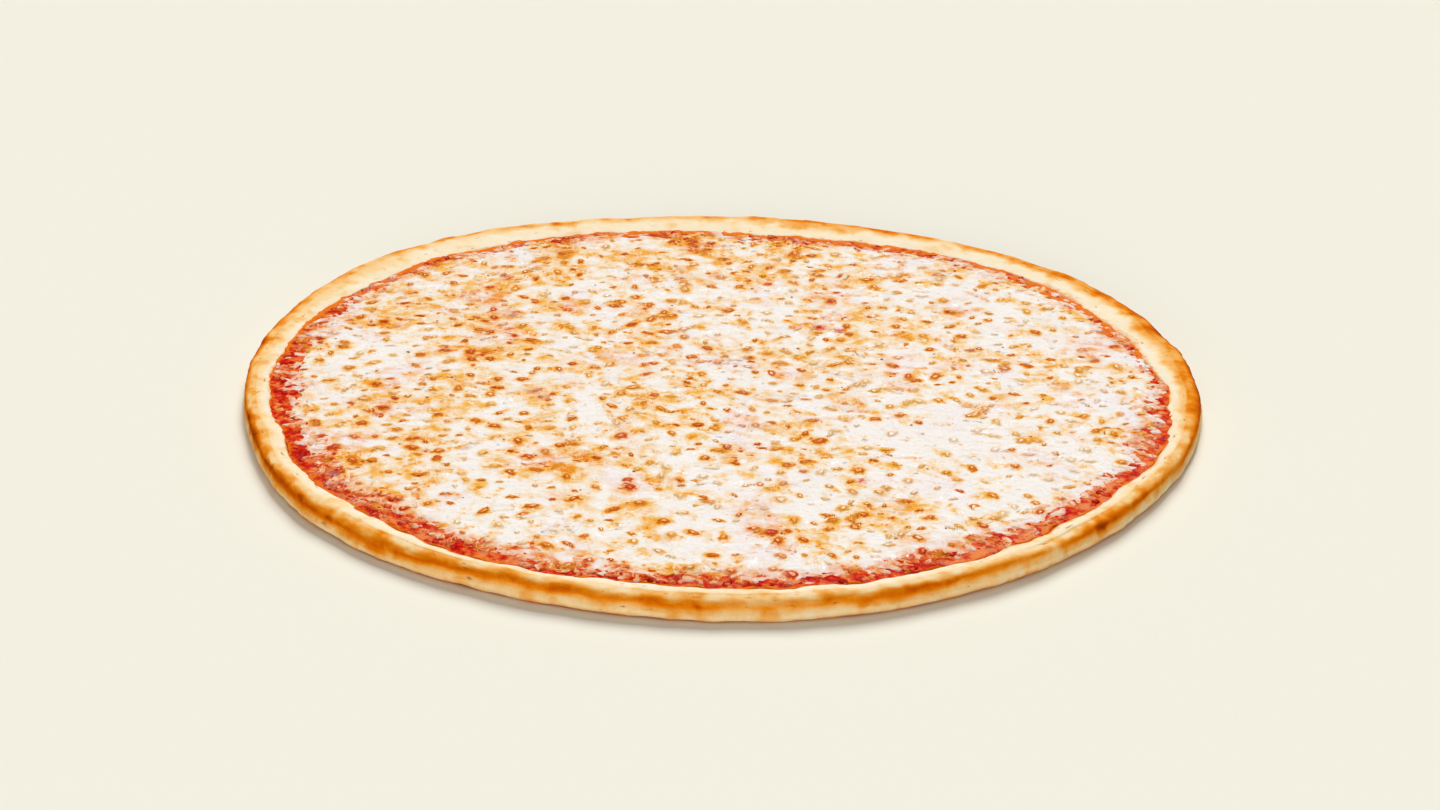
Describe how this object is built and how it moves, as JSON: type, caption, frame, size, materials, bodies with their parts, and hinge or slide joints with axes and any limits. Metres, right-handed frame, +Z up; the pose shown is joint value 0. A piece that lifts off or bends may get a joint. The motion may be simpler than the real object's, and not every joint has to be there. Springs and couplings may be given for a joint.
{
  "type": "cheese pizza",
  "caption": "Large round thin-crust pizza, whole and uncut: a baked dough base with a low rim, a ring of tomato sauce, and melted cheese with browned blisters.",
  "frame": {"origin": "on the surface that the pizza lies on, under the middle of the crust's box", "axes": "+Z up out of the cheese; +X to the right and -Y towards the viewer of the picture"},
  "size_m": [0.4042, 0.404, 0.0105],
  "materials": {
    "baked_dough": "matt baked dough, pale cream on top and golden brown round the outer side",
    "tomato_sauce": "wet tomato sauce, deep red with orange oil at its edge",
    "melted_cheese": "melted mozzarella, creamy white with golden to red-brown blisters and a soft oily shine"
  },
  "bodies": {
    "root": {"crust": "baked_dough", "sauce": "tomato_sauce", "cheese": "melted_cheese"}
  },
  "joints": []
}
